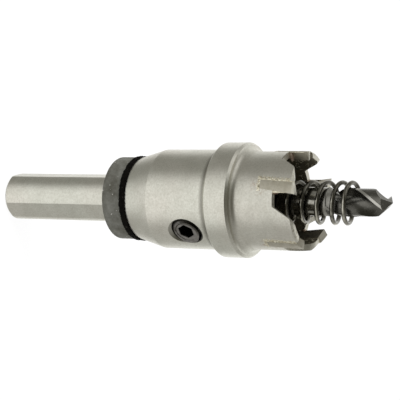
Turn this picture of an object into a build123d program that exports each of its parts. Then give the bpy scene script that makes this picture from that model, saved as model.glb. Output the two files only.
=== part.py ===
from build123d import *
import math
import os

# Carbide-tipped hole saw turned from one bar, with a clamped pilot drill and an ejector spring.
# Millimetres. +Z runs along the axis from the shank end (z = 0) to the pilot's point.
# Seen from the shank the tool cuts clockwise, so every tooth leads towards growing angles about +Z.

# Shank
SHANK_DIAMETER = 11.2
SHANK_CHAMFER = 0.6
SHANK_FLAT_COUNT = 3
SHANK_FLAT_ANGLE = -49.5
SHANK_FLAT_HALF_ANGLE = 22.5
SHANK_FLAT_END = 31.5

# Rubber collar and gasket pushed over the shank
COLLAR_START = 30.1
COLLAR_LENGTH = 4.8
COLLAR_DIAMETER = 19.2
COLLAR_EDGE = 0.35
GASKET_THICKNESS = 1.2
GASKET_DIAMETER = 19.8

# Turned body, measured from the shank end
TAPER_START = COLLAR_START + COLLAR_LENGTH + GASKET_THICKNESS
TAPER_DIAMETER = 19.05
BARREL_START = 42.65
BARREL_DIAMETER = 22.8
STOP_START = 57.7
STOP_END = 63.75
STOP_DIAMETER = 26.05
STOP_CHAMFER = 0.5
STOP_FILLET = 1.45
CUP_DIAMETER = 22.02
CUP_BORE_DIAMETER = 19.1
CUP_FLOOR = 61.5
CUP_FLOOR_FILLET = 1.2
RIM = 78.05
RIM_CHAMFER = 0.4

# Teeth, counted against the direction of cut; their spacing is uneven, which breaks up chatter
CUTTING_DIAMETER = 22.22
TOOTH_ANGLES = (-97.5, -168.0, -241.5, -312.0, -379.0)
TIP_SETBACKS = (0.0, 0.5, 0.0, 0.1, 0.6)
TIP_POINT = 79.0
TIP_REAR = 70.6
TIP_INNER_RADIUS = 9.1
TIP_WIDTH_FRONT = 2.65
TIP_WIDTH_REAR = 2.0
TIP_CLEARANCE_ANGLE = 15.0
TIP_DISH_ANGLE = 6.0
AXIAL_RAKE = 8.0
BRAZE_BACK = 0.26
BRAZE_REAR = 0.3
SEAT_DEPTH_RADIUS = 7.5
GULLET_FLOOR = 73.7
GULLET_SLOPE = 32.0
GULLET_CROWN = 1.9
GULLET_WIDTHS = (2.75, 3.95, 2.75, 2.75, 2.75)
GULLET_DEPTH_RADIUS = 4.5

# Pilot drill
PILOT_DIAMETER = 6.35
PILOT_REAR = 43.0
PILOT_REAR_CHAMFER = 0.5
PILOT_FLUTE_START = 82.8
PILOT_RUN_OUT = 3.4
PILOT_TIP = 97.2
PILOT_LEAD = 26.3
PILOT_CORNER_Z = 95.75
PILOT_CORNER_ANGLE = -62.7
PILOT_WEB = 1.6
PILOT_LAND_ANGLE = 72.0
MARGIN_ANGLE = 13.0
LAND_CLEARANCE = 0.14
HEEL_ROOT_RADIUS = 1.7
HEEL_ROOT_ANGLE = -82.0
VALLEY_ANGLE = -125.0
RAKE_ROOT_RADIUS = 1.35
RAKE_ROOT_ANGLE = -176.0
POINT_ANGLE = 124.0
LIP_RELIEF = 12.0
HEEL_SLOPE = 49.0
HEEL_DROP = 0.4
HEEL_OFFSET = 0.35
PILOT_BORE_END = 42.0

# Set screw that clamps the pilot
SCREW_DIAMETER = 7.2
SCREW_Z = 51.55
SCREW_ANGLE = -48.3
SCREW_SINK = 0.4
SCREW_EDGE = 0.55
SOCKET_WIDTH = 3.35
SOCKET_DEPTH = 3.6
SCREW_MOUTH_DIAMETER = 8.5
PILOT_FLAT_DEPTH = 0.5
PILOT_FLAT_LENGTH = 9.0

# Ejector spring, coil by coil from the cup's floor: pitch and number of turns of each stretch
SPRING_DIAMETER = 9.85
SPRING_WIRE = 1.0
SPRING_STRETCHES = ((1.1, 1.0), (3.58, 6.1), (2.7, 1.0), (1.1, 0.45))
SPRING_START_ANGLE = -51.0
SPRING_LEAN = 0.18

# Worked out from the sizes above
SHANK_RADIUS = SHANK_DIAMETER / 2
CUP_RADIUS = CUP_DIAMETER / 2
CUP_BORE_RADIUS = CUP_BORE_DIAMETER / 2
BARREL_RADIUS = BARREL_DIAMETER / 2
PILOT_RADIUS = PILOT_DIAMETER / 2
SCREW_RADIUS = SCREW_DIAMETER / 2
SCREW_TOP = BARREL_RADIUS - SCREW_SINK
SCREW_FOOT = PILOT_RADIUS - PILOT_FLAT_DEPTH
SPRING_RADIUS = (SPRING_DIAMETER - SPRING_WIRE) / 2


def side_plane(angle):
    """Plane that looks at the tool from outside: x is the cutting direction, y is +Z, z is outwards."""
    turn = math.radians(angle)
    outwards = (math.cos(turn), math.sin(turn), 0)
    ahead = (-math.sin(turn), math.cos(turn), 0)
    return Plane(origin=(0, 0, 0), x_dir=ahead, z_dir=outwards)


def prism(outline, angle, near, far):
    """Extrude a closed outline drawn on a side plane, from one distance off the axis to another."""
    face = side_plane(angle).offset(near) * make_face(outline)
    return extrude(face, amount=far - near)


def ring(outer, inner, bottom, top):
    """Plain ring about the axis."""
    height = top - bottom
    return Pos(0, 0, bottom + height / 2) * (Cylinder(outer, height) - Cylinder(inner, height + 1))


def turned_blank():
    """Shank, taper, barrel, depth stop and cup as they leave the lathe."""
    rim_outer = CUP_RADIUS - RIM_CHAMFER
    stop_radius = STOP_DIAMETER / 2
    fillet_top = STOP_END + STOP_FILLET
    outline = Polyline(
        (0, 0),
        (SHANK_RADIUS - SHANK_CHAMFER, 0),
        (SHANK_RADIUS, SHANK_CHAMFER),
        (SHANK_RADIUS, TAPER_START),
        (TAPER_DIAMETER / 2, TAPER_START),
        (BARREL_RADIUS, BARREL_START),
        (BARREL_RADIUS, STOP_START),
        (stop_radius - STOP_CHAMFER, STOP_START),
        (stop_radius, STOP_START + STOP_CHAMFER),
        (stop_radius, STOP_END - STOP_CHAMFER),
        (stop_radius - STOP_CHAMFER, STOP_END),
        (CUP_RADIUS + STOP_FILLET, STOP_END),
    )
    cove = RadiusArc((CUP_RADIUS + STOP_FILLET, STOP_END), (CUP_RADIUS, fillet_top), STOP_FILLET)
    outside = Polyline(
        (CUP_RADIUS, fillet_top),
        (CUP_RADIUS, RIM - RIM_CHAMFER),
        (rim_outer, RIM),
        (CUP_BORE_RADIUS, RIM),
        (CUP_BORE_RADIUS, CUP_FLOOR + CUP_FLOOR_FILLET),
    )
    corner = RadiusArc(
        (CUP_BORE_RADIUS, CUP_FLOOR + CUP_FLOOR_FILLET),
        (CUP_BORE_RADIUS - CUP_FLOOR_FILLET, CUP_FLOOR),
        CUP_FLOOR_FILLET,
    )
    inside = Polyline(
        (CUP_BORE_RADIUS - CUP_FLOOR_FILLET, CUP_FLOOR),
        (PILOT_RADIUS, CUP_FLOOR),
        (PILOT_RADIUS, PILOT_BORE_END),
        (0, PILOT_BORE_END - PILOT_RADIUS / 2),
        (0, 0),
    )
    section = make_face(Plane.XZ * (outline + cove + outside + corner + inside))
    return revolve(section, Axis.Z)


def shank_flats():
    """Three shallow flats that stop the shank slipping in a chuck."""
    depth = SHANK_RADIUS * math.cos(math.radians(SHANK_FLAT_HALF_ANGLE))
    cutters = []
    for index in range(SHANK_FLAT_COUNT):
        angle = SHANK_FLAT_ANGLE + index * 360 / SHANK_FLAT_COUNT
        block = Pos(depth + SHANK_RADIUS, 0, SHANK_FLAT_END / 2 - 1) * Box(
            2 * SHANK_RADIUS, 3 * SHANK_RADIUS, SHANK_FLAT_END + 2
        )
        cutters.append(Rot(0, 0, angle) * block)
    return cutters


def rake_offset(z):
    """How far the rake face has moved from the cutting edge's side plane at height z."""
    return (z - TIP_POINT) * math.tan(math.radians(AXIAL_RAKE))


def gullet(index):
    """Chip gullet ahead of a tooth: rake wall, flat floor and a ramp that rounds over onto the rim."""
    width = GULLET_WIDTHS[index]
    above = RIM + 2
    slope = math.radians(GULLET_SLOPE)
    crown_z = RIM - GULLET_CROWN * (1 - math.sin(slope))
    crown_t = width + (crown_z - GULLET_FLOOR) * math.tan(slope)
    rim_t = crown_t + GULLET_CROWN * math.cos(slope)
    walls = Polyline(
        (crown_t, crown_z),
        (width, GULLET_FLOOR),
        (rake_offset(GULLET_FLOOR), GULLET_FLOOR),
        (rake_offset(above), above),
        (rim_t, above),
        (rim_t, RIM),
    )
    crown = RadiusArc((rim_t, RIM), (crown_t, crown_z), -GULLET_CROWN)
    return prism(walls + crown, TOOTH_ANGLES[index], GULLET_DEPTH_RADIUS, CUP_RADIUS + 1)


def tip_outline(back, rear):
    """Side view of a carbide tip, open above, grown at its back and rear by the braze's gap."""
    above = RIM + 3
    lead_rear = rake_offset(TIP_REAR - rear)
    back_slope = (TIP_WIDTH_REAR - TIP_WIDTH_FRONT - rake_offset(TIP_REAR)) / (TIP_POINT - TIP_REAR)
    return Polyline(
        (rake_offset(above), above),
        (-TIP_WIDTH_FRONT - back + back_slope * (above - TIP_POINT), above),
        (lead_rear - TIP_WIDTH_REAR - back, TIP_REAR - rear),
        (lead_rear, TIP_REAR - rear),
        (rake_offset(above), above),
    )


def above_tip(index):
    """Everything past a tip's ground end, which falls off behind its edge and towards the axis."""
    turn = math.radians(TOOTH_ANGLES[index])
    clearance = math.tan(math.radians(TIP_CLEARANCE_ANGLE))
    dish = math.tan(math.radians(TIP_DISH_ANGLE))
    edge = (
        CUTTING_DIAMETER / 2 * math.cos(turn),
        CUTTING_DIAMETER / 2 * math.sin(turn),
        TIP_POINT - TIP_SETBACKS[index],
    )
    normal = (
        clearance * math.sin(turn) - dish * math.cos(turn),
        -clearance * math.cos(turn) - dish * math.sin(turn),
        1,
    )
    return Plane(origin=edge, z_dir=normal) * Pos(0, 0, CUP_RADIUS) * Box(
        2 * CUP_DIAMETER, 2 * CUP_DIAMETER, CUP_DIAMETER
    )


def carbide_tip(index):
    """Carbide cutting tip, ground to the cutting diameter and relieved behind its edge."""
    block = prism(tip_outline(0, 0), TOOTH_ANGLES[index], TIP_INNER_RADIUS, CUP_RADIUS + 1)
    envelope = Pos(0, 0, TIP_REAR) * Cylinder(CUTTING_DIAMETER / 2, 4 * CUP_RADIUS)
    return (block & envelope) - above_tip(index)


def tip_seat(index):
    """Slot through the cup wall that takes a tip and its braze."""
    outline = tip_outline(BRAZE_BACK, BRAZE_REAR)
    return prism(outline, TOOTH_ANGLES[index], SEAT_DEPTH_RADIUS, CUP_RADIUS + 1)


def cutter_body():
    """The one-piece steel body."""
    body = turned_blank()
    for cutter in shank_flats():
        body -= cutter
    body -= screw_hole()
    for index in range(len(TOOTH_ANGLES)):
        body -= gullet(index)
        body -= tip_seat(index)
    return body


def braze_joint(index, tip):
    """Silver braze that fills the seat behind and below a tip."""
    wall = ring(CUP_RADIUS, CUP_BORE_RADIUS, CUP_FLOOR, RIM)
    seam = tip_seat(index) & wall
    return seam - tip - above_tip(index)


def screw_axis():
    """Set screw's own frame: z outwards through the barrel."""
    return Rot(0, 0, SCREW_ANGLE) * Pos(0, 0, SCREW_Z) * Rot(0, 90, 0)


def screw_hole():
    """Cross hole for the set screw, with a countersunk mouth."""
    depth = BARREL_RADIUS + 1
    mouth_radius = SCREW_MOUTH_DIAMETER / 2
    mouth_depth = mouth_radius - SCREW_RADIUS
    hole = Pos(0, 0, depth / 2) * Cylinder(SCREW_RADIUS, depth)
    mouth = Pos(0, 0, BARREL_RADIUS - mouth_depth / 2) * Cone(SCREW_RADIUS, mouth_radius, mouth_depth)
    above = Pos(0, 0, BARREL_RADIUS + 0.5) * Cylinder(mouth_radius, 1)
    return screw_axis() * (hole + mouth + above)


def set_screw():
    """Headless hexagon-socket screw that bears on the pilot's flat."""
    length = SCREW_TOP - SCREW_FOOT
    blank = Cylinder(SCREW_RADIUS, length)
    blank = chamfer(blank.edges().filter_by(GeomType.CIRCLE), SCREW_EDGE)
    socket = extrude(RegularPolygon(SOCKET_WIDTH / 2, 6, major_radius=False), amount=-SOCKET_DEPTH)
    blank -= Pos(0, 0, length / 2) * socket
    return screw_axis() * Pos(0, 0, (SCREW_TOP + SCREW_FOOT) / 2) * blank


def polar(radius, angle):
    """Point in the cross-section of the pilot."""
    turn = math.radians(angle)
    return (radius * math.cos(turn), radius * math.sin(turn))


def flute_section():
    """Cross-section of the fluted part: margin, cleared land, heel, web and rake face, twice over."""
    land_radius = PILOT_RADIUS - LAND_CLEARANCE
    heel = -PILOT_LAND_ANGLE
    rake_root = polar(RAKE_ROOT_RADIUS, RAKE_ROOT_ANGLE)
    margin_end = polar(PILOT_RADIUS, -MARGIN_ANGLE)
    margin = ThreePointArc(polar(PILOT_RADIUS, 0), polar(PILOT_RADIUS, -MARGIN_ANGLE / 2), margin_end)
    step = Line(margin_end, polar(land_radius, -MARGIN_ANGLE))
    land = ThreePointArc(step @ 1, polar(land_radius, (heel - MARGIN_ANGLE) / 2), polar(land_radius, heel))
    heel_side = Line(land @ 1, polar(HEEL_ROOT_RADIUS, HEEL_ROOT_ANGLE))
    valley = ThreePointArc(heel_side @ 1, polar(PILOT_WEB / 2, VALLEY_ANGLE), rake_root)
    rake_side = Line(valley @ 1, polar(PILOT_RADIUS, -180))
    half = [margin, step, land, heel_side, valley, rake_side]
    return make_face(half + [Rot(0, 0, 180) * edge for edge in half])


def half_space(point, normal):
    """Block that fills the side of a plane its normal points to, all round the pilot's point."""
    size = 6 * PILOT_DIAMETER
    return Plane(origin=point, z_dir=normal) * Pos(0, 0, size / 2) * Box(size, size, size)


def point_cutters():
    """Flank and heel facet of one lip, which lies along +X and leads towards +Y."""
    fall = 1 / math.tan(math.radians(POINT_ANGLE / 2))
    relief = math.tan(math.radians(LIP_RELIEF))
    heel_slope = math.tan(math.radians(HEEL_SLOPE))
    flank = half_space((0, 0, PILOT_TIP), (fall, -relief, 1))
    heel = half_space((0, -HEEL_OFFSET, PILOT_TIP - HEEL_DROP), (0, -heel_slope, 1))
    return [flank, heel]


def pilot_drill():
    """Pilot drill: clamped shank with a flat, right-hand flutes and a split point."""
    shank_length = PILOT_FLUTE_START - PILOT_REAR
    shank = Pos(0, 0, PILOT_REAR + shank_length / 2) * Cylinder(PILOT_RADIUS, shank_length)
    shank = chamfer(shank.edges().sort_by(Axis.Z)[0], PILOT_REAR_CHAMFER)
    cone_z = PILOT_FLUTE_START + PILOT_RUN_OUT / 2
    run_out = Pos(0, 0, cone_z) * Cone(PILOT_RADIUS, PILOT_WEB / 2, PILOT_RUN_OUT)
    fluted_length = PILOT_TIP + 1 - PILOT_FLUTE_START
    start_angle = PILOT_CORNER_ANGLE - 360 * (PILOT_CORNER_Z - PILOT_FLUTE_START) / PILOT_LEAD
    section = Pos(0, 0, PILOT_FLUTE_START) * Rot(0, 0, start_angle) * flute_section()
    fluted = Solid.extrude_linear_with_rotation(
        section.face(),
        (0, 0, PILOT_FLUTE_START),
        (0, 0, fluted_length),
        360 * fluted_length / PILOT_LEAD,
    )
    drill = shank + run_out + fluted
    lip_angle = PILOT_CORNER_ANGLE - math.degrees(math.asin(PILOT_WEB / PILOT_DIAMETER))
    for turn in (0, 180):
        for cutter in point_cutters():
            drill -= Rot(0, 0, lip_angle + turn) * cutter
    flat_block = Box(PILOT_DIAMETER, 2 * PILOT_DIAMETER, PILOT_FLAT_LENGTH)
    drill -= Rot(0, 0, SCREW_ANGLE) * Pos(SCREW_FOOT + PILOT_RADIUS, 0, SCREW_Z) * flat_block
    return drill


def ejector_spring():
    """Left-hand compression spring round the pilot, closed at the cup's floor and closing at its free end."""
    base = CUP_FLOOR + SPRING_WIRE / 2
    angle = SPRING_START_ANGLE
    coils = []
    for pitch, turns in SPRING_STRETCHES:
        place = Pos(SPRING_LEAN, 0, base) * Rot(0, 0, angle)
        coils.append(place * Helix(pitch=pitch, height=pitch * turns, radius=SPRING_RADIUS, lefthand=True))
        base += pitch * turns
        angle -= 360 * turns
    path = Wire(coils)
    wire_section = Plane(origin=path @ 0, z_dir=path % 0) * Circle(SPRING_WIRE / 2)
    return sweep(wire_section, path=path, is_frenet=True)


def rubber_collar():
    """Rubber collar over the shank, behind the body."""
    top = COLLAR_START + COLLAR_LENGTH
    collar = ring(COLLAR_DIAMETER / 2, SHANK_RADIUS, COLLAR_START, top)
    rear_edge = collar.edges().filter_by(GeomType.CIRCLE).group_by(Axis.Z)[0].sort_by(SortBy.RADIUS)[-1]
    return fillet(rear_edge, COLLAR_EDGE)


def collar_gasket():
    """Thin black gasket between the collar and the body."""
    return ring(GASKET_DIAMETER / 2, SHANK_RADIUS, COLLAR_START + COLLAR_LENGTH, TAPER_START)


def build_parts():
    """All nodes by name."""
    parts = {
        "cutter_body": cutter_body(),
        "rubber_collar": rubber_collar(),
        "collar_gasket": collar_gasket(),
        "set_screw": set_screw(),
        "pilot_drill": pilot_drill(),
        "ejector_spring": ejector_spring(),
    }
    for index in range(len(TOOTH_ANGLES)):
        tip = carbide_tip(index)
        parts[f"carbide_tip_{index + 1}"] = tip
        parts[f"braze_joint_{index + 1}"] = braze_joint(index, tip)
    return parts


os.makedirs("parts", exist_ok=True)
for name, shape in build_parts().items():
    export_step(shape, f"parts/{name}.step")
    print(name, round(shape.volume, 2))
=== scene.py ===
# %% [markdown]
# # A carbide-tipped hole saw
# The tool is a stepped steel body with five brazed carbide teeth, a pilot drill inside a loose
# ejector spring, a clamping screw and a rubber collar behind the body. The rigid parts come from
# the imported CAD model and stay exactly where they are. This lesson gives each of them its real
# finish and builds the small irregular things that CAD leaves plain.

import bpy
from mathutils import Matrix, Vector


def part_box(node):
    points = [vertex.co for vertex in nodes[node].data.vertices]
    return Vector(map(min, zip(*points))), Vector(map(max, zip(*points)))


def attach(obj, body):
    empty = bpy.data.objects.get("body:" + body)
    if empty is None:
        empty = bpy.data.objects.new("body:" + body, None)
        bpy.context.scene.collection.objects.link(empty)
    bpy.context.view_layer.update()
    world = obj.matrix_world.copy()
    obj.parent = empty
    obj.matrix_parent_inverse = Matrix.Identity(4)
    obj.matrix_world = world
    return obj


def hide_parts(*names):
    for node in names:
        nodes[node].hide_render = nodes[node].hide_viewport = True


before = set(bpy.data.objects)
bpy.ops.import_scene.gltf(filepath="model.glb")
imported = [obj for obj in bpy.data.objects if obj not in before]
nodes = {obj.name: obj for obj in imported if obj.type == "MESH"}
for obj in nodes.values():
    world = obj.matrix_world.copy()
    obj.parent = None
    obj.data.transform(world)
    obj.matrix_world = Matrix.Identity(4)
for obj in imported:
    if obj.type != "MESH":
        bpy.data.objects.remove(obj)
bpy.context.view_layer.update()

import math

import bpy
from mathutils import Matrix, Vector

print("CAD nodes:", ", ".join(sorted(nodes)))

# %% [markdown]
# ## The camera
# The tool stands on its shank, but it is looked at as if it lay across the picture with the
# cutting end on the right, so the camera is rolled by a quarter turn. It stands a little above
# the teeth's side and looks down on them at about 27 degrees. Its place is given by three axes,
# because that is exact where a chain of turns would be hard to read.

# %% Set the camera
CAMERA_PLACE = Vector((0.00016, -0.28454, 0.19888))
PICTURE_RIGHT = Vector((-0.0197, 0.4619, 0.8867))
PICTURE_UP = Vector((-0.9998, -0.0091, -0.0175))
LENS = 126.0


def camera_matrix(place, right, up):
    """Matrix of a camera whose picture has these two directions."""
    right = right.normalized()
    back = right.cross(up).normalized()
    up = back.cross(right)
    rows = [(right[i], up[i], back[i], place[i]) for i in range(3)]
    return Matrix(rows + [(0, 0, 0, 1)])


camera_data = bpy.data.cameras.new("camera")
camera_data.lens = LENS
camera_data.sensor_width = 36.0
camera_data.clip_start = 0.01
camera_data.clip_end = 10.0
camera = bpy.data.objects.new("camera", camera_data)
camera.matrix_world = camera_matrix(CAMERA_PLACE, PICTURE_RIGHT, PICTURE_UP)
bpy.context.scene.collection.objects.link(camera)
bpy.context.scene.camera = camera
bpy.context.scene.view_settings.view_transform = "Standard"
print("camera at", [round(value, 3) for value in camera.location])

# %% [markdown]
# ## Small helpers for materials
# A material is a graph of nodes, and most nodes do one of a few jobs: a noise pattern, a range of
# values, a mix of two colours, a bump. A helper for each job keeps the recipes short. Every
# pattern reads Object coordinates, which are metres on the tool, so a scale of 1000 means one
# feature about every millimetre.

# %% Node helpers


def add_node(tree, kind, inputs=None, **settings):
    """Adds a node, sets its properties and the default values of its inputs."""
    node = tree.nodes.new(kind)
    for name, value in settings.items():
        setattr(node, name, value)
    for name, value in (inputs or {}).items():
        node.inputs[name].default_value = value
    return node


def new_material(name, color, metallic, roughness, **sockets):
    """Material with one Principled shader, its tree and that shader."""
    material = bpy.data.materials.new(name)
    material.use_nodes = True
    tree = material.node_tree
    shader = tree.nodes["Principled BSDF"]
    shader.inputs["Base Color"].default_value = (*color, 1)
    shader.inputs["Metallic"].default_value = metallic
    shader.inputs["Roughness"].default_value = roughness
    for socket, value in sockets.items():
        shader.inputs[socket.replace("_", " ")].default_value = value
    return material, tree, shader


print("node helpers ready")

# %% Patterns and mixes


def place_on_tool(tree):
    """Place of the shaded point on the tool, in metres."""
    return add_node(tree, "ShaderNodeTexCoord").outputs["Object"]


def noise(tree, scale, detail=2.0, roughness=0.5, stretch=(1, 1, 1)):
    """Noise on Object coordinates; stretch above 1 on an axis makes it finer along that axis."""
    mapping = add_node(tree, "ShaderNodeMapping", {"Scale": stretch})
    texture = add_node(
        tree, "ShaderNodeTexNoise", {"Scale": scale, "Detail": detail, "Roughness": roughness}
    )
    tree.links.new(place_on_tool(tree), mapping.inputs["Vector"])
    tree.links.new(mapping.outputs["Vector"], texture.inputs["Vector"])
    return texture.outputs["Fac"]


def span(tree, value, low, high, to_low=0.0, to_high=1.0, curve="LINEAR"):
    """Maps a range of a value to another range, clamped at its ends."""
    node = add_node(
        tree,
        "ShaderNodeMapRange",
        {"From Min": low, "From Max": high, "To Min": to_low, "To Max": to_high},
        interpolation_type=curve,
    )
    tree.links.new(value, node.inputs["Value"])
    return node.outputs["Result"]


def mix(tree, factor, first, second, blend="MIX"):
    """Mixes two colours; the factor and the colours are outputs or plain values."""
    node = add_node(tree, "ShaderNodeMix", data_type="RGBA", blend_type=blend)
    sockets = (node.inputs[0], node.inputs[6], node.inputs[7])
    for socket, value in zip(sockets, (factor, first, second)):
        if isinstance(value, bpy.types.NodeSocket):
            tree.links.new(value, socket)
        else:
            socket.default_value = value if isinstance(value, float) else (*value, 1)
    return node.outputs[2]


print("patterns and mixes ready")

# %% Bumps and where a material goes


def bump(tree, shader, pattern, distance, strength=1.0):
    """Bump of a height pattern; distance is the depth of its full range, in metres."""
    node = add_node(tree, "ShaderNodeBump", {"Distance": distance, "Strength": strength})
    tree.links.new(pattern, node.inputs["Height"])
    tree.links.new(node.outputs["Normal"], shader.inputs["Normal"])


def give(material, *names):
    """Puts a material on CAD nodes."""
    for name in names:
        for slot in nodes[name].material_slots:
            slot.material = material


print("material helpers ready")

# %% [markdown]
# ## Places on the tool
# Dirt, wear and grinding marks sit in certain places of a tool, so a material has to know where a
# point is. Distances from the axis, along it and from a fixed point do that. They are read from
# Object coordinates, which stay with the tool however it is turned, where a painted picture would
# need an unwrapped surface.

# %% Where a point is


def combine(tree, operation, first, second):
    """Arithmetic on two values, each an output or a number."""
    node = add_node(tree, "ShaderNodeMath", operation=operation)
    for socket, value in zip(node.inputs, (first, second)):
        if isinstance(value, bpy.types.NodeSocket):
            tree.links.new(value, socket)
        else:
            socket.default_value = value
    return node.outputs[0]


def vector_math(tree, operation, place, other=(0, 0, 0)):
    """Vector arithmetic of a place and a fixed vector, as a vector or as a number."""
    node = add_node(tree, "ShaderNodeVectorMath", {1: other}, operation=operation)
    tree.links.new(place, node.inputs[0])
    is_number = operation in ("LENGTH", "DISTANCE", "DOT_PRODUCT")
    return node.outputs["Value" if is_number else "Vector"]


def distance_from_axis(tree):
    """Distance of a point from the tool's axis."""
    flat = vector_math(tree, "MULTIPLY", place_on_tool(tree), (1, 1, 0))
    return vector_math(tree, "LENGTH", flat)


def height(tree):
    """Height of a point above the shank's end."""
    split = add_node(tree, "ShaderNodeSeparateXYZ")
    tree.links.new(place_on_tool(tree), split.inputs["Vector"])
    return split.outputs["Z"]


def distance_from(tree, point):
    """Distance of a point from a fixed point on the tool."""
    return vector_math(tree, "DISTANCE", place_on_tool(tree), point)


print("places ready")

# %% Laying masks on a material


def both(tree, first, second):
    """Mask of the places where both masks are."""
    return combine(tree, "MULTIPLY", first, second)


def paint(tree, tone, mask, share, colour):
    """Lays a share of a colour over a tone where a mask is."""
    return mix(tree, combine(tree, "MULTIPLY", mask, share), tone, colour)


def roughen(tree, rough, mask, level):
    """Raises roughness to a level where a mask is."""
    return combine(tree, "MAXIMUM", rough, combine(tree, "MULTIPLY", mask, level))


print("masks ready")

# %% [markdown]
# ## Turned steel
# The body is one piece of turned steel with a satin finish, so its light is soft and slightly
# grainy. A large soft noise makes it lighter and darker, a very large one a little warmer and
# cooler, and a fine one gives the satin grain. The cup is painted a trace darker than the
# barrel.

# %% Tone of the bare steel
GREY_STEEL = (0.705, 0.70, 0.65)
LIGHT_STEEL = (0.80, 0.795, 0.745)
GRAIN_STEEL = (0.50, 0.485, 0.42)
CUP_STEEL = (0.40, 0.39, 0.34)
COOL_TINT = (0.984, 0.996, 0.965)
WARM_TINT = (1.0, 0.980, 0.955)


def bare_steel(tree, grain, cup):
    """Tone of the turned steel; cup is the mask of the cup."""
    cloud = noise(tree, 260, 4, 0.6)
    warmth = noise(tree, 75, 2, 0.5)
    tone = mix(tree, span(tree, cloud, 0.35, 0.65), GREY_STEEL, LIGHT_STEEL)
    tint = mix(tree, span(tree, warmth, 0.38, 0.62), COOL_TINT, WARM_TINT)
    tone = mix(tree, 1.0, tone, tint, "MULTIPLY")
    tone = mix(tree, span(tree, grain, 0.32, 0.70, 0.0, 0.52), tone, GRAIN_STEEL)
    return paint(tree, tone, cup, 0.1, CUP_STEEL)


print("bare steel between", GREY_STEEL, "and", LIGHT_STEEL)

# %% [markdown]
# ## Painted shade and heat on the body
# Shade is painted into the corner behind the depth stop. Brazing leaves brown scorched spots round
# the rear end of each tooth's seat. The seats are found from the teeth themselves, so the marks
# follow them.

# %% Corner and heat marks
UP = Vector((0, 0, 1))
TOOTH_NUMBERS = range(1, 6)
CUP_RADIUS = 0.01101
STOP_CORNER = 0.0577
CORNER_FAR = 0.0017
CORNER_NEAR = 0.0009
PAINTED_CORNER_SHADE = (0.20, 0.19, 0.16)
HEAT_NEAR = 0.0011
HEAT_FAR = 0.0026
HEAT_BROWN = (0.47, 0.36, 0.27)


def seat_end(number):
    """Point on the cup's outside at the rear end of a tooth's seat."""
    low, high = (Vector(corner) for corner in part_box(f"carbide_tip_{number}"))
    outwards = ((low + high) / 2 * Vector((1, 1, 0))).normalized()
    return tuple(outwards * CUP_RADIUS + UP * low.z)


def corner_shade_mask(tree, along):
    """Band of the barrel close behind the depth stop, where shade is painted."""
    near = span(tree, along, STOP_CORNER - CORNER_FAR, STOP_CORNER - CORNER_NEAR)
    return both(tree, near, span(tree, along, STOP_CORNER, STOP_CORNER + 2e-5, 1, 0))


def heat_mask(tree):
    """Scorched spots round the rear end of each tooth's seat."""
    heat = 0.0
    for number in TOOTH_NUMBERS:
        near = span(tree, distance_from(tree, seat_end(number)), HEAT_NEAR, HEAT_FAR, 1, 0)
        heat = combine(tree, "MAXIMUM", heat, near)
    scorch = noise(tree, 1300, 3, 0.7)
    return both(tree, heat, span(tree, scorch, 0.46, 0.66))


print("seat ends:", [tuple(round(value, 4) for value in seat_end(n)) for n in TOOTH_NUMBERS])

# %% [markdown]
# ## Inside of the cup, rim and countersink
# The inside of the cup is dark, with bare specks. The rim between the teeth is rougher than the
# outside and gets a painted highlight, mottled by specks. The countersink of the clamping screw
# gets painted shade. Each of them lies below the body's outer surface, and that is how the masks
# find them.

# %% Masks of the cup and the countersink
CUP_FLOOR = 0.0614
CUP_WALL_INSIDE = 0.00962
DARK_INSIDE = (0.28, 0.255, 0.19)
BARE_SPECKS = (1.0, 0.96, 0.82)
CROWN_OUTSIDE = 0.01094
CROWN_START = 0.0702
PAINTED_RIM_HIGHLIGHT = (0.84, 0.82, 0.74)
PAINTED_RIM_MOTTLE = (0.55, 0.52, 0.43)
SCREW_TURN = math.radians(-48.3)
SCREW_HEIGHT = 0.05155
SCREW_OUTWARDS = (math.cos(SCREW_TURN), math.sin(SCREW_TURN), 0)
BARREL_RADIUS = 0.0114
SCREW_MOUTH = (
    BARREL_RADIUS * SCREW_OUTWARDS[0], BARREL_RADIUS * SCREW_OUTWARDS[1], SCREW_HEIGHT
)
MOUTH_REACH = 0.0045
PAINTED_COUNTERSINK_SHADE = (0.33, 0.32, 0.28)


def inside_mask(tree, along):
    """Inner wall and floor of the cup."""
    wall = span(tree, distance_from_axis(tree), CUP_WALL_INSIDE, CUP_WALL_INSIDE + 5e-5, 1, 0)
    return both(tree, wall, span(tree, along, CUP_FLOOR, CUP_FLOOR + 1e-4))


def crown_mask(tree, along, inside):
    """Rim of the cup and walls of its gullets, where a highlight is painted."""
    crown = span(tree, distance_from_axis(tree), CROWN_OUTSIDE - 5e-5, CROWN_OUTSIDE, 1, 0)
    crown = both(tree, crown, span(tree, along, CROWN_START, CROWN_START + 1e-4))
    return both(tree, crown, combine(tree, "SUBTRACT", 1, inside))


def countersink_mask(tree):
    """Countersink and hole of the clamping screw, where shade is painted."""
    near = span(tree, distance_from(tree, SCREW_MOUTH), MOUTH_REACH, MOUTH_REACH + 1e-4, 1, 0)
    below = span(tree, distance_from_axis(tree), BARREL_RADIUS - 5e-5, BARREL_RADIUS - 1e-5, 1, 0)
    return both(tree, near, below)


print("screw mouth at", [round(value, 4) for value in SCREW_MOUTH])

# %% [markdown]
# ## The body's material
# The masks are laid over the bare steel one after the other. Roughness follows the same masks, so
# that the inside and the rim are duller than turned steel. The lathe rings are noise that is
# squeezed along the axis, and they show as bumps.

# %% Body material
CUP_START = 0.0639
CUP_BLEND = 0.0006
INSIDE_ROUGHNESS = 0.62
MILLED_ROUGHNESS = 0.5
RING_STRETCH = (90, 90, 5200)


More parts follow.
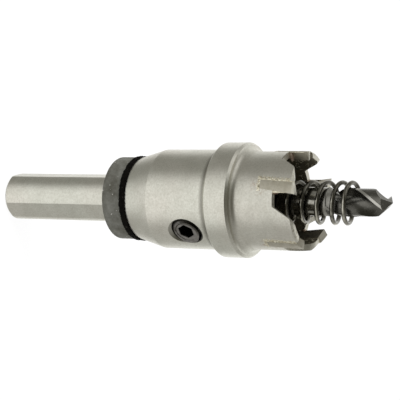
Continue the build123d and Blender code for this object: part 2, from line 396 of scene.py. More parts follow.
def satin_steel():
    """Satin turned steel with its rings, grain, painted corner shade, heat marks, dark cup and
    painted rim highlight.
    """
    material, tree, shader = new_material("satin_steel", (0.70, 0.69, 0.63), 1.0, 0.3)
    grain = noise(tree, 2600, 3, 0.6)
    rings = noise(tree, 1.0, 2, 0.6, stretch=RING_STRETCH)
    specks = span(tree, noise(tree, 1150, 2, 0.7), 0.57, 0.64)
    along = height(tree)
    cup = span(tree, along, CUP_START, CUP_START + CUP_BLEND)
    inside = inside_mask(tree, along)
    crown = crown_mask(tree, along, inside)
    tone = bare_steel(tree, grain, cup)
    # painted shade in the corner behind the depth stop
    tone = paint(tree, tone, corner_shade_mask(tree, along), 0.75, PAINTED_CORNER_SHADE)
    tone = paint(tree, tone, heat_mask(tree), 0.55, HEAT_BROWN)
    tone = mix(tree, inside, tone, mix(tree, specks, DARK_INSIDE, BARE_SPECKS))
    # painted highlight on the rim and gullet walls, mottled by specks
    tone = paint(tree, tone, crown, 0.9, mix(tree, specks, PAINTED_RIM_HIGHLIGHT, PAINTED_RIM_MOTTLE))
    # painted shade in the countersink
    tone = paint(tree, tone, countersink_mask(tree), 0.7, PAINTED_COUNTERSINK_SHADE)
    tree.links.new(tone, shader.inputs["Base Color"])
    rough = span(tree, grain, 0.3, 0.7, 0.27, 0.37)
    rough = combine(tree, "ADD", rough, combine(tree, "MULTIPLY", cup, 0.07))
    rough = roughen(tree, rough, inside, INSIDE_ROUGHNESS)
    rough = roughen(tree, rough, crown, MILLED_ROUGHNESS)
    tree.links.new(rough, shader.inputs["Roughness"])
    bump(tree, shader, mix(tree, 0.5, rings, grain), 0.00001, 0.5)
    return material


give(satin_steel(), "cutter_body")
print("body finished")

# %% [markdown]
# ## Carbide and braze
# The teeth are sintered carbide, ground with a fine wheel: darker, warmer and more matt than the
# steel. Silver braze holds them. It shows as a pale, cooked seam, rough at the scale of a tenth of
# a millimetre, so noise drives its colour and its bumps together.

# %% Carbide and braze
EDGE_LOW = 0.0781
DARK_CARBIDE = (0.40, 0.375, 0.30)
LIGHT_CARBIDE = (0.50, 0.475, 0.40)
PAINTED_END_HIGHLIGHT = (0.60, 0.58, 0.50)
CARBIDE_PITS = (0.18, 0.16, 0.12)
COOKED_BRAZE = (0.60, 0.54, 0.40)
CLEAN_BRAZE = (0.98, 0.95, 0.80)


def carbide():
    """Ground sintered carbide with small pits, and a painted highlight on the ends."""
    material, tree, shader = new_material("carbide", (0.42, 0.40, 0.33), 1.0, 0.38)
    cloud = noise(tree, 700, 3, 0.6)
    pits = noise(tree, 2600, 2, 0.5)
    tone = mix(tree, span(tree, cloud, 0.35, 0.65), DARK_CARBIDE, LIGHT_CARBIDE)
    # painted highlight on the tips' end faces
    end_highlight = span(tree, height(tree), EDGE_LOW, EDGE_LOW + 0.0001, 0, 0.8)
    tone = mix(tree, end_highlight, tone, PAINTED_END_HIGHLIGHT)
    tone = mix(tree, span(tree, pits, 0.62, 0.72, 0.0, 0.4), tone, CARBIDE_PITS)
    tree.links.new(tone, shader.inputs["Base Color"])
    bump(tree, shader, pits, 0.00001, 0.5)
    return material


def braze():
    """Cooked silver braze: cream where it is clean, brown where its flux has burnt."""
    material, tree, shader = new_material("braze", (0.70, 0.64, 0.48), 1.0, 0.45)
    cloud = noise(tree, 1900, 3, 0.65)
    tone = mix(tree, span(tree, cloud, 0.38, 0.62), COOKED_BRAZE, CLEAN_BRAZE)
    tree.links.new(tone, shader.inputs["Base Color"])
    bump(tree, shader, cloud, 0.00003, 0.6)
    return material


braze_finish = braze()
give(carbide(), *[f"carbide_tip_{number}" for number in TOOTH_NUMBERS])
give(braze_finish, *[f"braze_joint_{number}" for number in TOOTH_NUMBERS])
print("teeth finished")

# %% [markdown]
# ## Helpers for modelling
# Each new piece starts from a primitive that is shaped in edit mode. Operators act on whatever is
# selected, so a helper deselects everything first, and two others select faces or edges by where
# they are. Others apply a modifier, roughen a surface with a cloud pattern and weigh its points. A
# last one hands a finished piece to the frame: it gets its name and finish and rides on the body.

# %% Selecting


def deselect():
    """Leaves edit mode and deselects all objects."""
    if bpy.context.object and bpy.context.object.mode != "OBJECT":
        bpy.ops.object.mode_set(mode="OBJECT")
    bpy.ops.object.select_all(action="DESELECT")


def select_edges(piece, wanted):
    """Selects the edges of a piece, both of whose ends pass a test, and stays in edit mode."""
    bpy.ops.object.mode_set(mode="EDIT")
    bpy.ops.mesh.select_mode(type="EDGE")
    bpy.ops.mesh.select_all(action="DESELECT")
    bpy.ops.object.mode_set(mode="OBJECT")
    points = piece.data.vertices
    for edge in piece.data.edges:
        edge.select = all(wanted(points[index].co) for index in edge.vertices)
    bpy.ops.object.mode_set(mode="EDIT")


def select_faces(piece, wanted):
    """Selects the faces of a piece whose middle and normal pass a test, and stays in edit mode."""
    bpy.ops.object.mode_set(mode="EDIT")
    bpy.ops.mesh.select_mode(type="FACE")
    bpy.ops.mesh.select_all(action="DESELECT")
    bpy.ops.object.mode_set(mode="OBJECT")
    for face in piece.data.polygons:
        face.select = wanted(face.center, face.normal)
    bpy.ops.object.mode_set(mode="EDIT")


print("selecting ready")

# %% Applying and roughening


def apply_place(piece):
    """Moves a piece's place into its mesh."""
    deselect()
    piece.select_set(True)
    bpy.context.view_layer.objects.active = piece
    bpy.ops.object.transform_apply(location=True, rotation=True, scale=True)


def add_modifier(piece, kind, **settings):
    """Adds a modifier and applies it at once."""
    modifier = piece.modifiers.new(kind.lower(), kind)
    for name, value in settings.items():
        setattr(modifier, name, value)
    deselect()
    bpy.context.view_layer.objects.active = piece
    piece.select_set(True)
    bpy.ops.object.modifier_apply(modifier=modifier.name)


def cloud_texture(name, scale):
    """Cloud pattern for a Displace modifier; scale is the size of a lump in metres."""
    texture = bpy.data.textures.new(name, "CLOUDS")
    texture.noise_scale = scale
    texture.noise_depth = 2
    return texture


def displace(piece, pattern, strength, level=0.5, group="", direction="NORMAL"):
    """Moves a piece's points by a cloud pattern; they stay where the pattern equals level."""
    add_modifier(
        piece,
        "DISPLACE",
        texture=pattern,
        texture_coords="LOCAL",
        direction=direction,
        mid_level=level,
        strength=strength,
        vertex_group=group,
    )


def weigh(piece, name, weight):
    """Vertex group whose weights come from a function of the vertex's place."""
    group = piece.vertex_groups.new(name=name)
    for point in piece.data.vertices:
        value = weight(point.co)
        if value > 0:
            group.add([point.index], value, "REPLACE")
    return name


print("modifiers ready")

# %% Handing over


def hand_over(piece, name, material, smooth_below=35):
    """Names a finished piece, shades it, gives it its finish and lets it ride on the body."""
    piece.name = name
    piece.data.materials.clear()
    piece.data.materials.append(material)
    deselect()
    bpy.context.view_layer.objects.active = piece
    piece.select_set(True)
    bpy.ops.object.shade_smooth_by_angle(angle=math.radians(smooth_below))
    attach(piece, "root")
    print(name, "has", len(piece.data.polygons), "faces")


print("handing over ready")

# %% [markdown]
# ## Braze that ran out of the seats
# When a tooth is brazed in, some braze is squeezed out and freezes as a crumbly bead along the
# back and the rear end of its seat. Each bead starts as a small patch of a cylinder that lies just
# under the cup's surface. A Displace modifier lifts it with a cloud pattern, most on the seam and
# not at all a millimetre away, so only the tops of the lumps break the surface. That gives an
# outline as ragged as the real one, which a tube along the seam would not.

# %% Where the seams are
TOOTH_ANGLES = (-97.5, -168.0, -241.5, -312.0, -379.0)
TOOTH_TOP = 0.079
SEAT_END_Z = 0.0703
BACK_AT_TOP = -0.00291
BACK_AT_END = -0.00344
FRONT_AT_END = -0.00118


def tooth_axes(number):
    """Directions outwards through a tooth's cutting edge and ahead of it, with the cut."""
    turn = math.radians(TOOTH_ANGLES[number - 1])
    return Vector((math.cos(turn), math.sin(turn), 0)), Vector((-math.sin(turn), math.cos(turn), 0))


def seam_distance(ahead, z):
    """Distance from the seam at the back and the rear end of a seat."""
    share = (z - SEAT_END_Z) / (TOOTH_TOP - SEAT_END_Z)
    back = BACK_AT_END + (BACK_AT_TOP - BACK_AT_END) * share
    below = max(SEAT_END_Z - z, 0)
    to_back = math.hypot(ahead - back, below)
    beside = max(BACK_AT_END - ahead, ahead - FRONT_AT_END, 0)
    to_rear = math.hypot(z - SEAT_END_Z, beside)
    return min(to_back, to_rear)


print("teeth at", TOOTH_ANGLES, "degrees")

# %% Braze run-out
BEAD_BOTTOM = 0.0694
BEAD_TOP = 0.0775
BEAD_ROWS = 66
BEAD_COLUMNS = 640
BEAD_SINK = 0.00005
BEAD_LIFT = 0.00052
BEAD_LEVEL = 0.29
BEAD_REACH = 0.0009
BEAD_THICKNESS = 0.00012
LUMP_SIZE = 0.00022


def braze_runout(number):
    """Crumbly bead of braze round one seat."""
    outwards, forwards = tooth_axes(number)
    deselect()
    bpy.ops.mesh.primitive_cylinder_add(
        vertices=BEAD_COLUMNS,
        radius=CUP_RADIUS - BEAD_SINK,
        depth=BEAD_TOP - BEAD_BOTTOM,
        end_fill_type="NOTHING",
        location=(0, 0, (BEAD_TOP + BEAD_BOTTOM) / 2),
    )
    bead = bpy.context.object
    apply_place(bead)
    select_faces(
        bead,
        lambda middle, normal: normal.dot(outwards) < 0.5
        or not BACK_AT_END - BEAD_REACH < middle.dot(forwards) < FRONT_AT_END + BEAD_REACH,
    )
    bpy.ops.mesh.delete(type="FACE")
    bpy.ops.mesh.select_mode(type="EDGE")
    bpy.ops.mesh.select_all(action="DESELECT")
    bpy.ops.object.mode_set(mode="OBJECT")
    points = bead.data.vertices
    for edge in bead.data.edges:
        first, second = (points[index].co for index in edge.vertices)
        edge.select = abs(first.z - second.z) > (BEAD_TOP - BEAD_BOTTOM) / 2
    bpy.ops.object.mode_set(mode="EDIT")
    bpy.ops.mesh.subdivide(number_cuts=BEAD_ROWS)
    bpy.ops.object.mode_set(mode="OBJECT")
    seam = weigh(
        bead, "seam", lambda place: 1 - seam_distance(place.dot(forwards), place.z) / BEAD_REACH
    )
    displace(bead, bead_lumps, BEAD_LIFT, BEAD_LEVEL, seam)
    add_modifier(bead, "SOLIDIFY", thickness=BEAD_THICKNESS, offset=-1)
    hand_over(bead, f"braze_runout_{number}", braze_finish, 60)


bead_lumps = cloud_texture("bead_lumps", LUMP_SIZE)
for number in TOOTH_NUMBERS:
    braze_runout(number)

# %% [markdown]
# ## Braze in the gullet corners
# More braze gathers by surface tension in the corner where a tooth's rake face meets the floor of
# its gullet, and stays there as a small dome with a coppery tint. One dome is modelled as a sphere
# that is flattened and roughened, and each of the five seats gets a copy of it in its own mesh.

# %% Braze fillets
FILLET_RADIUS = 0.00062
FILLET_PLACE = (0.00985, -0.00062, 0.07395)
FILLET_SCALE = (1.75, 0.8, 1.0)
FILLET_LUMPS = 0.0003
DARK_COPPER = (0.44, 0.32, 0.25)
LIGHT_COPPER = (0.66, 0.55, 0.46)


def copper_braze():
    """Braze with the pink tint of copper."""
    material, tree, shader = new_material("copper_braze", (0.56, 0.44, 0.36), 1.0, 0.4)
    cloud = noise(tree, 1700, 3, 0.6)
    tone = mix(tree, span(tree, cloud, 0.38, 0.62), DARK_COPPER, LIGHT_COPPER)
    tree.links.new(tone, shader.inputs["Base Color"])
    bump(tree, shader, cloud, 0.00003, 0.5)
    return material


def braze_fillet():
    """Rough flattened dome of braze, modelled on a tooth that would cut along +Y."""
    deselect()
    bpy.ops.mesh.primitive_ico_sphere_add(
        subdivisions=4, radius=FILLET_RADIUS, location=FILLET_PLACE
    )
    dome = bpy.context.object
    dome.scale = FILLET_SCALE
    apply_place(dome)
    displace(dome, bead_lumps, FILLET_LUMPS)
    return dome


dome = braze_fillet()
copper = copper_braze()
for number in TOOTH_NUMBERS:
    fillet = dome.copy()
    fillet.data = dome.data.copy()
    bpy.context.scene.collection.objects.link(fillet)
    fillet.rotation_euler = (0, 0, math.radians(TOOTH_ANGLES[number - 1]))
    apply_place(fillet)
    hand_over(fillet, f"braze_fillet_{number}", copper, 60)
bpy.data.objects.remove(dome)

# %% [markdown]
# ## Pilot drill and spring
# The drill is high-speed steel with a dark temper skin that grinding and chips have scratched
# through. The spring is drawn wire, dark too, with a painted highlight along each coil. Both are
# smooth metal, so they stay fairly glossy, and a fine noise breaks their reflections up.

# %% Dark steels
SCRATCHED_STEEL = (0.42, 0.41, 0.38)


def dark_steel(name, low, high, roughness, scale, marks):
    """Tempered steel with a patchy dark skin and short scratches; marks adds its own places."""
    middle = tuple((a + b) / 2 for a, b in zip(low, high))
    material, tree, shader = new_material(name, middle, 1.0, roughness)
    cloud = noise(tree, scale, 4, 0.6)
    scuffs = noise(tree, scale * 3, 2, 0.7, stretch=(1, 1, 3))
    scratches = span(tree, noise(tree, scale, 2, 0.6, stretch=(5, 5, 0.9)), 0.6, 0.68)
    tone = mix(tree, span(tree, cloud, 0.38, 0.66), low, high)
    rough = span(tree, scuffs, 0.3, 0.7, roughness - 0.06, roughness + 0.08)
    tone, rough = marks(tree, tone, rough)
    tone = paint(tree, tone, scratches, 0.4, SCRATCHED_STEEL)
    tree.links.new(tone, shader.inputs["Base Color"])
    tree.links.new(rough, shader.inputs["Roughness"])
    bump(tree, shader, scuffs, 0.00001, 0.4)
    return material


print("dark steel ready")

# %% Drill finish
MARGIN_RADIUS = 0.00311
BAND_LOW = 0.0824
FLUTE_START = 0.0843
GROUND_BLEND = 0.0002
BAND_STEEL = (0.34, 0.333, 0.305)
BAND_ROUGHNESS = 0.42
FLUTE_STEEL = (0.115, 0.112, 0.10)
MARGIN_STEEL_AND_HIGHLIGHT = (0.58, 0.57, 0.53)
DARK_DRILL = (0.24, 0.233, 0.205)
LIGHT_DRILL = (0.42, 0.41, 0.37)


def ground_places(tree, tone, rough):
    """Bare steel on the ground margins, partly a painted highlight, and in a band at the end of the
    shank.
    """
    along = height(tree)
    outside = span(tree, distance_from_axis(tree), MARGIN_RADIUS, MARGIN_RADIUS + 2e-5)
    above_band = span(tree, along, BAND_LOW, BAND_LOW + GROUND_BLEND)
    fluted = span(tree, along, FLUTE_START, FLUTE_START + GROUND_BLEND)
    tone = paint(tree, tone, above_band, 0.75, BAND_STEEL)
    tone = paint(tree, tone, fluted, 0.85, FLUTE_STEEL)
    # ground margins, bare steel and a painted highlight as well
    tone = paint(tree, tone, both(tree, outside, fluted), 0.85, MARGIN_STEEL_AND_HIGHLIGHT)
    band = combine(tree, "SUBTRACT", above_band, combine(tree, "MULTIPLY", fluted, 0.4))
    return tone, roughen(tree, rough, band, BAND_ROUGHNESS)


give(dark_steel("drill_steel", DARK_DRILL, LIGHT_DRILL, 0.17, 900, ground_places), "pilot_drill")
print("drill finished, ground bright from", BAND_LOW)

# %% Spring finish
WIRE_CREST = 0.004885
PAINTED_WIRE_HIGHLIGHT = (0.66, 0.64, 0.56)
DARK_WIRE = (0.09, 0.085, 0.071)
LIGHT_WIRE = (0.21, 0.20, 0.17)


def painted_crest_highlight(tree, tone, rough):
    """Painted highlight: a broken bright line on the outside of the coils."""
    # painted highlight along the outer crest of each coil
    crest = span(tree, distance_from_axis(tree), WIRE_CREST, WIRE_CREST + 2e-5)
    broken = span(tree, noise(tree, 500, 2, 0.5), 0.36, 0.56, 0.15, 0.85)
    return paint(tree, tone, crest, broken, PAINTED_WIRE_HIGHLIGHT), rough


give(dark_steel("spring_steel", DARK_WIRE, LIGHT_WIRE, 0.15, 420, painted_crest_highlight), "ejector_spring")
print("spring finished")

# %% [markdown]
# ## The clamping screw
# A headless screw with a hexagon socket clamps the pilot. It is made upright on the axis and laid
# into its hole later. The core is a cylinder whose top is opened, bridged to a hexagon and
# extruded down, so that the socket has real walls and a bottom. Bevels break its two edges.

# %% Screw core
SCREW_FACE = 0.0110
SCREW_FOOT = 0.002675
CORE_RADIUS = 0.0027
HEXAGON_RADIUS = 0.00193
SOCKET_DEPTH = 0.0036
RIM_BEVEL = 0.00016


def on_face(place):
    """Whether a point lies in the plane of the screw's face."""
    return place.z > SCREW_FACE - 1e-5


def on_hexagon(place):
    """Whether a point lies on the mouth of the socket."""
    return on_face(place) and place.xy.length < HEXAGON_RADIUS * 1.02


def on_rim(place):
    """Whether a point lies on the outer edge of the screw's face."""
    return on_face(place) and place.xy.length > CORE_RADIUS * 0.99


def screw_core():
    """Core of the screw with its hexagon socket."""
    deselect()
    bpy.ops.mesh.primitive_cylinder_add(
        vertices=96,
        radius=CORE_RADIUS,
        depth=SCREW_FACE - SCREW_FOOT,
        location=(0, 0, (SCREW_FACE + SCREW_FOOT) / 2),
    )
    core = bpy.context.object
    apply_place(core)
    select_faces(core, lambda middle, normal: normal.z > 0.9)
    bpy.ops.mesh.delete(type="ONLY_FACE")
    bpy.ops.mesh.primitive_circle_add(
        vertices=6, radius=HEXAGON_RADIUS, location=(0, 0, SCREW_FACE)
    )
    bpy.ops.object.mode_set(mode="OBJECT")
    select_edges(core, on_face)
    bpy.ops.mesh.bridge_edge_loops()
    select_edges(core, on_hexagon)
    bpy.ops.mesh.extrude_edges_move(TRANSFORM_OT_translate={"value": (0, 0, -SOCKET_DEPTH)})
    bpy.ops.mesh.edge_face_add()
    select_edges(core, on_hexagon)
    bpy.ops.mesh.bevel(offset=RIM_BEVEL / 2, segments=2)
    select_edges(core, on_rim)
    bpy.ops.mesh.bevel(offset=RIM_BEVEL, segments=2)
    bpy.ops.mesh.select_all(action="SELECT")
    bpy.ops.mesh.normals_make_consistent(inside=False)
    deselect()
    return core


core = screw_core()
print("core has", len(core.data.vertices), "points")

# %% [markdown]
# ## Its thread
# The screw stands a little below the mouth of its hole, so the end of its thread shows as a dark
# spiral round the face. That is why the thread is real. It is a triangle turned by the Screw
# modifier, and two cuts with a fill end it level with the face and the foot.

# %% Screw thread
THREAD_PITCH = 0.00125
THREAD_SIZE = 0.000533
THREAD_MIDDLE = 0.002917
THREAD_TURNS = 7
THREAD_END_ANGLE = 112
THREAD_STEPS = 72
THREAD_SHY = 0.00002


def screw_thread():
    """Thread of the screw, cut off level with its face and its foot."""
    deselect()
    start = SCREW_FACE - THREAD_PITCH * (THREAD_TURNS - 1 + THREAD_END_ANGLE / 360)
    bpy.ops.mesh.primitive_circle_add(
        vertices=3,
        radius=THREAD_SIZE,
        location=(THREAD_MIDDLE, 0, start),
        rotation=(math.pi / 2, math.pi / 2, 0),
    )
    thread = bpy.context.object
    apply_place(thread)
    add_modifier(
        thread,
        "SCREW",
        axis="Z",
        angle=math.tau,
        screw_offset=THREAD_PITCH,
        iterations=THREAD_TURNS,
        steps=THREAD_STEPS,
        render_steps=THREAD_STEPS,
    )
    for level, direction in ((SCREW_FACE - THREAD_SHY, 1), (SCREW_FOOT + THREAD_SHY, -1)):
        bpy.ops.object.mode_set(mode="EDIT")
        bpy.ops.mesh.select_all(action="SELECT")
        bpy.ops.mesh.bisect(
            plane_co=(0, 0, level), plane_no=(0, 0, direction), use_fill=True, clear_outer=True
        )
        bpy.ops.object.mode_set(mode="OBJECT")
    bpy.ops.object.mode_set(mode="EDIT")
    bpy.ops.mesh.select_all(action="SELECT")
    bpy.ops.mesh.remove_doubles(threshold=1e-6)
    bpy.ops.mesh.normals_make_consistent(inside=False)
    deselect()
    return thread


thread = screw_thread()
print("thread has", len(thread.data.vertices), "points")

# %% [markdown]
# ## Painted shade in the screw
# The socket is painted black as shade, and painted shade lies in the thread's groove, at the hole's
# edge and in a crescent on the shaded side, fading out on the lit side. Depth is measured along the
# hole and the groove's place outwards from the hole's middle, so both stay with the screw. Thread
# and core are then joined into one piece, which is turned onto its side and pushed out to the
# hole's place.

# %% Painted shade on the screw
GROOVE_DEPTH = 0.0004
FACE_DEPTH = 0.0001
LIT_SIDE = (0.528, 0.470, 0.707)
SHADED_SIDE = (-0.528, -0.470, 0.707)
GROOVE_INSIDE = (0.00222, 0.00234)
GROOVE_OUTSIDE = (0.0025, 0.00264)
HOLE_EDGE = (0.0030, 0.0032)
LIT_FADE = (0.0006, 0.0016)
SHADED_FADE = (0.0010, 0.0020)
CRESCENT_INSIDE = (0.0024, 0.0026)
PAINTED_GROOVE_SHADE = (0.05, 0.045, 0.035)
PAINTED_SOCKET_SHADE = (0.012, 0.011, 0.008)
DARK_SCREW = (0.22, 0.21, 0.20)
LIGHT_SCREW = (0.34, 0.325, 0.31)


def painted_screw_shade(tree, tone, rough):
    """Painted shade: black in the socket, dark beside the thread, at the hole's edge and on the
    shaded side.
    """
    along = vector_math(tree, "DOT_PRODUCT", place_on_tool(tree), SCREW_OUTWARDS)
    deep = span(tree, along, SCREW_FACE - GROOVE_DEPTH, SCREW_FACE - FACE_DEPTH, 1, 0)
    from_mouth = vector_math(tree, "SUBTRACT", place_on_tool(tree), SCREW_MOUTH)
    turned = vector_math(tree, "CROSS_PRODUCT", from_mouth, SCREW_OUTWARDS)
    out = vector_math(tree, "LENGTH", turned)
    side = vector_math(tree, "DOT_PRODUCT", from_mouth, LIT_SIDE)
    corner = vector_math(tree, "DOT_PRODUCT", from_mouth, SHADED_SIDE)
    groove = both(tree, span(tree, out, *GROOVE_INSIDE), span(tree, out, *GROOVE_OUTSIDE, 1, 0))
    groove = combine(tree, "MAXIMUM", groove, span(tree, out, *HOLE_EDGE, 0.0, 0.55))
    groove = both(tree, groove, span(tree, side, *LIT_FADE, 0.9, 0))
    crescent = span(tree, corner, *SHADED_FADE, 0, 0.85)
    crescent = both(tree, crescent, span(tree, out, *CRESCENT_INSIDE))
    groove = combine(tree, "MAXIMUM", groove, crescent)
    # painted shade in the thread's groove, at the hole's edge and on the shaded side
    tone = mix(tree, groove, tone, PAINTED_GROOVE_SHADE)
    # painted shade: black in the socket
    return mix(tree, deep, tone, PAINTED_SOCKET_SHADE), rough


screw_finish = dark_steel("screw_steel", DARK_SCREW, LIGHT_SCREW, 0.34, 900, painted_screw_shade)
print("screw finish ready")

# %% Lay the screw into its hole


def threaded_screw():
    """Core and thread as one piece in the barrel, in place of the plain CAD screw."""
    deselect()
    thread.select_set(True)
    core.select_set(True)
    bpy.context.view_layer.objects.active = core
    bpy.ops.object.join()
    core.matrix_world = (
        Matrix.Rotation(SCREW_TURN, 4, "Z")
        @ Matrix.Translation((0, 0, SCREW_HEIGHT))
        @ Matrix.Rotation(math.pi / 2, 4, "Y")
    )
    apply_place(core)
    hand_over(core, "threaded_set_screw", screw_finish, 30)
    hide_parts("set_screw")


threaded_screw()

# %% [markdown]
# ## Rubber collar
# The collar is grey-black moulded rubber. Dust lies on it in clouds, and a few grains of it are
# nearly white. Large soft noise gives the clouds, and only the highest peaks of a fine noise give
# the grains, so they stay few.

# %% Collar rubber
RUBBER_LOWS = (0.100, 0.097, 0.075)
RUBBER_DUSTY = (0.265, 0.265, 0.235)
RUBBER_PORES = (0.09, 0.088, 0.07)
DUST_GRAINS = (0.72, 0.71, 0.66)


def dusty_rubber():
    """Grey-black rubber with clouds and grains of pale dust."""
    material, tree, shader = new_material(
        "grey_rubber", (0.12, 0.12, 0.105), 0.0, 0.6, Specular_IOR_Level=0.22
    )
    cloud = noise(tree, 210, 4, 0.65)
    fine = noise(tree, 1100, 3, 0.6)
    grains = noise(tree, 1500, 1, 0.5)
    tone = mix(tree, span(tree, cloud, 0.33, 0.66), RUBBER_LOWS, RUBBER_DUSTY)
    tone = mix(tree, span(tree, fine, 0.3, 0.7, 0.0, 0.4), tone, RUBBER_PORES)
    tone = mix(tree, span(tree, grains, 0.72, 0.76, 0.0, 0.85), tone, DUST_GRAINS)
    tree.links.new(tone, shader.inputs["Base Color"])
    tree.links.new(span(tree, fine, 0.3, 0.7, 0.5, 0.72), shader.inputs["Roughness"])
    bump(tree, shader, fine, 0.00005, 0.45)
    return material


give(dusty_rubber(), "rubber_collar")
print("collar finished")

# %% [markdown]
# ## Torn gasket
# The thin black gasket between collar and body has been squeezed out, and its edge is torn. It is
# a washer with a lip that hangs over the collar's edge. Both sections are rectangles spun once
# round the axis. Displace modifiers with a cloud pattern then fray the lip: one along the axis
# gives its ragged line on the collar, one outwards its outline, and one pulls out a loose flap.

# %% Gasket rubber
GASKET_BLACK = (0.0015, 0.0015, 0.0012)
GASKET_GREY = (0.007, 0.006, 0.0045)
GASKET_CRUMBS = (0.16, 0.15, 0.12)


def black_rubber():
    """Deep black soft rubber with a few crumbs of dust."""
    material, tree, shader = new_material(
        "black_gasket", (0.004, 0.004, 0.0035), 0.0, 0.8, Specular_IOR_Level=0.08
    )
    grain = noise(tree, 1500, 3, 0.6)
    crumbs = noise(tree, 1900, 2, 0.6)
    tone = mix(tree, span(tree, grain, 0.35, 0.7), GASKET_BLACK, GASKET_GREY)
    tone = mix(tree, span(tree, crumbs, 0.70, 0.76, 0.0, 0.5), tone, GASKET_CRUMBS)
    tree.links.new(tone, shader.inputs["Base Color"])
    bump(tree, shader, grain, 0.00006, 0.6)
    return material


gasket_finish = black_rubber()
print("gasket rubber ready")

# %% Sections and weights
GASKET_BOTTOM = 0.0349
GASKET_TOP = 0.0361
LIP_INSIDE = 0.00961
LIP_OUTSIDE = 0.00986
LIP_BOTTOM = 0.03482
FLAP_ANGLE = 8.0
FLAP_HALF_WIDTH = 15.0
FLAP_BOTTOM = GASKET_BOTTOM + 0.0006


def ring_section(near, far, low, high):
    """Rectangle in the plane through the axis, drawn as four edges."""
    bpy.ops.mesh.primitive_plane_add(
        size=1, location=((near + far) / 2, 0, (low + high) / 2), rotation=(math.pi / 2, 0, 0)
    )
    section = bpy.context.object
    section.scale = (far - near, high - low, 1)
    apply_place(section)
    bpy.ops.object.mode_set(mode="EDIT")
    bpy.ops.mesh.select_all(action="SELECT")
    bpy.ops.mesh.delete(type="ONLY_FACE")
    bpy.ops.object.mode_set(mode="OBJECT")
    return section


def hem(place):
    """Weight of a point on the lip's free end, which hangs over the collar."""
    return float(place.z < GASKET_BOTTOM and place.xy.length > LIP_INSIDE - 1e-6)


def outer_edge(place):
    """Weight of a point on the lip's outside."""
    return float(place.xy.length > LIP_OUTSIDE - 1e-5)


def flap(place):
    """How much the lip is pulled out where a flap of it has torn loose."""
    turn = math.degrees(math.atan2(place.y, place.x))
    share = max(0, 1 - abs(turn - FLAP_ANGLE) / FLAP_HALF_WIDTH)
    return share if place.xy.length > LIP_INSIDE and place.z > FLAP_BOTTOM else 0


print("lip from", LIP_BOTTOM, "to", GASKET_TOP)

# %% Torn gasket
GASKET_BORE = 0.00562
LIP_CUTS = 5
SPIN_STEPS = 300
TEAR_SIZE = 0.00046
HEM_FRAY = 0.0006
EDGE_FRAY = 0.0004
FLAP_LENGTH = 0.00035


def torn_gasket():
    """Washer and frayed lip as one piece, in place of the plain CAD gasket."""
    deselect()
    lip = ring_section(LIP_INSIDE, LIP_OUTSIDE, LIP_BOTTOM, GASKET_TOP)
    bpy.ops.object.mode_set(mode="EDIT")
    bpy.ops.mesh.select_all(action="SELECT")
    bpy.ops.mesh.subdivide(number_cuts=LIP_CUTS)
    deselect()
    washer = ring_section(GASKET_BORE, LIP_INSIDE - 1e-5, GASKET_BOTTOM, GASKET_TOP)
    deselect()
    lip.select_set(True)
    washer.select_set(True)
    bpy.context.view_layer.objects.active = lip
    bpy.ops.object.join()
    bpy.ops.object.mode_set(mode="EDIT")
    bpy.ops.mesh.select_all(action="SELECT")
    bpy.ops.mesh.spin(steps=SPIN_STEPS, angle=math.tau, center=(0, 0, 0), axis=(0, 0, 1))
    bpy.ops.mesh.select_all(action="SELECT")
    bpy.ops.mesh.remove_doubles(threshold=1e-6)
    bpy.ops.mesh.normals_make_consistent(inside=False)
    bpy.ops.object.mode_set(mode="OBJECT")
    hem_points = weigh(lip, "hem", hem)
    edge_points = weigh(lip, "edge", outer_edge)
    flap_points = weigh(lip, "torn", flap)
    displace(lip, tears, HEM_FRAY, 0.5, hem_points, "Z")
    displace(lip, tears, EDGE_FRAY, 0.6, edge_points)
    displace(lip, tears, FLAP_LENGTH, 0.2, flap_points)
    hand_over(lip, "torn_gasket", gasket_finish, 50)
    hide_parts("collar_gasket")


tears = cloud_texture("tears", TEAR_SIZE)
torn_gasket()

# %% [markdown]
# ## Floor and surroundings
# The floor is white for the eye and keeps the tool's soft shadow. Polished metal shows what
# surrounds it, so for reflections the surroundings are a studio: a grey room with large soft
# cards. The brightest stand low in front of the tool and behind it, weaker ones at its two sides,
# and a dark one high in front darkens the hollow beside the depth stop.

# %% Floor
FLOOR_SIZE = 4.0
FLOOR_GLOW = 0.86
FLOOR_TONE = 0.2


def white_floor():
    """Big white floor under the shank that still takes a soft shadow."""
    deselect()
    bpy.ops.mesh.primitive_plane_add(size=FLOOR_SIZE, location=(0, 0, 0))
    floor = bpy.context.object
    floor.name = "studio_floor"
    material, tree, shader = new_material(
        "floor_white", (FLOOR_TONE,) * 3, 0.0, 1.0, Specular_IOR_Level=0.0
    )
    glow = add_node(tree, "ShaderNodeEmission", {"Strength": FLOOR_GLOW})
    paths = add_node(tree, "ShaderNodeLightPath")
    blend = add_node(tree, "ShaderNodeAddShader")
    pick = add_node(tree, "ShaderNodeMixShader")
    tree.links.new(shader.outputs[0], blend.inputs[0])
    tree.links.new(glow.outputs[0], blend.inputs[1])
    tree.links.new(paths.outputs["Is Camera Ray"], pick.inputs[0])
    tree.links.new(shader.outputs[0], pick.inputs[1])
    tree.links.new(blend.outputs[0], pick.inputs[2])
    tree.links.new(pick.outputs[0], tree.nodes["Material Output"].inputs["Surface"])
    floor.data.materials.append(material)
    floor.visible_glossy = False


white_floor()
print("floor laid")

# %% Soft cards


def lobe(tree, direction, outer, inner, strength):
    """Soft card in the surroundings: full inside one angle of a direction, gone outside another."""
    place = add_node(tree, "ShaderNodeTexCoord").outputs["Generated"]
    cosine = vector_math(tree, "DOT_PRODUCT", place, Vector(direction).normalized())
    edge, full = math.cos(math.radians(outer)), math.cos(math.radians(inner))
    return span(tree, cosine, edge, full, 0.0, strength, "SMOOTHSTEP")


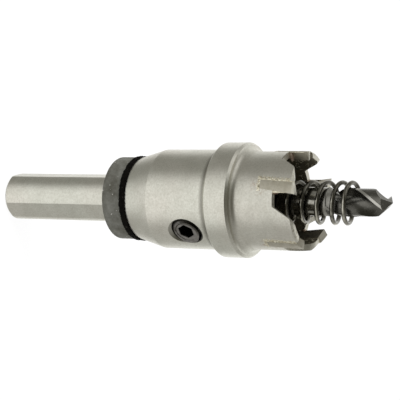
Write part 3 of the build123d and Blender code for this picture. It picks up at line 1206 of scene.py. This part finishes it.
def around(azimuth, elevation):
    """Direction in the room: azimuth from the front (-Y) towards -X, elevation above the floor."""
    turn = math.radians(azimuth)
    rise = math.radians(elevation)
    return (-math.cos(rise) * math.sin(turn), -math.cos(rise) * math.cos(turn), math.sin(rise))


print("a card straight in front would stand at", around(0, 0))

# %% Surroundings
CARDS = (
    # azimuth, elevation, outer angle, inner angle, strength
    (0, -32, 60, 10, 0.70),
    (-95, -15, 75, 20, 0.20),
    (175, -10, 64, 15, 0.80),
    (88, 43, 34, 12, 0.50),
    (0, 42, 52, 20, -0.20),
)
ROOM_TONE = (0.308, 0.304, 0.280)
ROOM_FOR_RUBBER = 0.62
WHITE = (1.0, 1.0, 1.0)


def studio():
    """World that is white for the eye, a room with soft cards for metal and plain for rubber."""
    world = bpy.data.worlds.new("studio")
    bpy.context.scene.world = world
    world.use_nodes = True
    tree = world.node_tree
    level = 0.0
    for azimuth, elevation, outer, inner, strength in CARDS:
        card = lobe(tree, around(azimuth, elevation), outer, inner, strength)
        level = combine(tree, "ADD", level, card)
    paths = add_node(tree, "ShaderNodeLightPath")
    room = mix(tree, 1.0, level, ROOM_TONE, "ADD")
    seen = mix(tree, paths.outputs["Is Glossy Ray"], (ROOM_FOR_RUBBER,) * 3, room)
    seen = mix(tree, paths.outputs["Is Camera Ray"], seen, WHITE)
    tree.links.new(seen, tree.nodes["Background"].inputs["Color"])


studio()
print("surroundings with", len(CARDS), "cards")

# %% [markdown]
# ## Lamps
# Two broad lamps model the rubber and drop the shadow on the floor. They are hidden from
# reflections, because the cards already are what the metal shows, and a lamp would burn a hard
# white spot into each bevel.

# %% Lamps
MIDDLE = (0, 0, 0.05)


def lamp(name, place, size, power):
    """Square area lamp that looks at the tool's middle and isn't mirrored in metal."""
    deselect()
    bpy.ops.object.light_add(type="AREA", location=place)
    light = bpy.context.object
    light.name = name
    light.data.size = size
    light.data.energy = power
    light.visible_glossy = False
    look = Vector(MIDDLE) - Vector(place)
    light.rotation_euler = look.to_track_quat("-Z", "Y").to_euler()


lamp("key_lamp", (-0.45, -0.15, 0.5), 0.35, 2.4)
lamp("fill_lamp", (0.4, -0.4, 0.35), 0.5, 1.2)
print("lamps lit")
